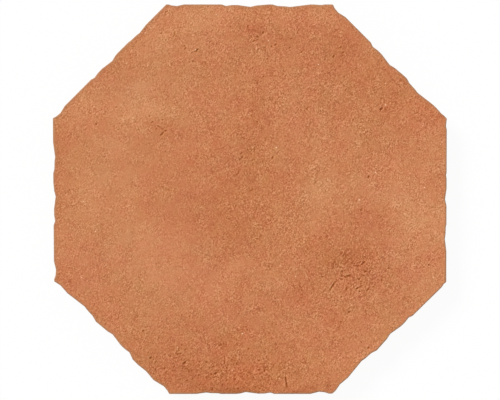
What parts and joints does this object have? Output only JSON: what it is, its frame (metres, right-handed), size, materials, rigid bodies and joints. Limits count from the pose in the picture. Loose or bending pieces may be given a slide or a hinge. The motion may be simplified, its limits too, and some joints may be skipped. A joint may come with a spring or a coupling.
{
  "type": "terracotta floor tile",
  "caption": "Octagonal terracotta floor tile with a rustic nicked edge, a flat worn face and shallow keying grooves across its back.",
  "frame": {"origin": "middle of the back, on the plane of the lands between its keying grooves", "axes": "+Z out of the worn face, +X to the right and +Y upwards as the face is looked at, the grooves running along Y"},
  "size_m": [0.3015, 0.2982, 0.02],
  "materials": {
    "terracotta": "unglazed, matt, sandy"
  },
  "bodies": {
    "root": {"octagonal_tile": "terracotta"}
  },
  "joints": []
}
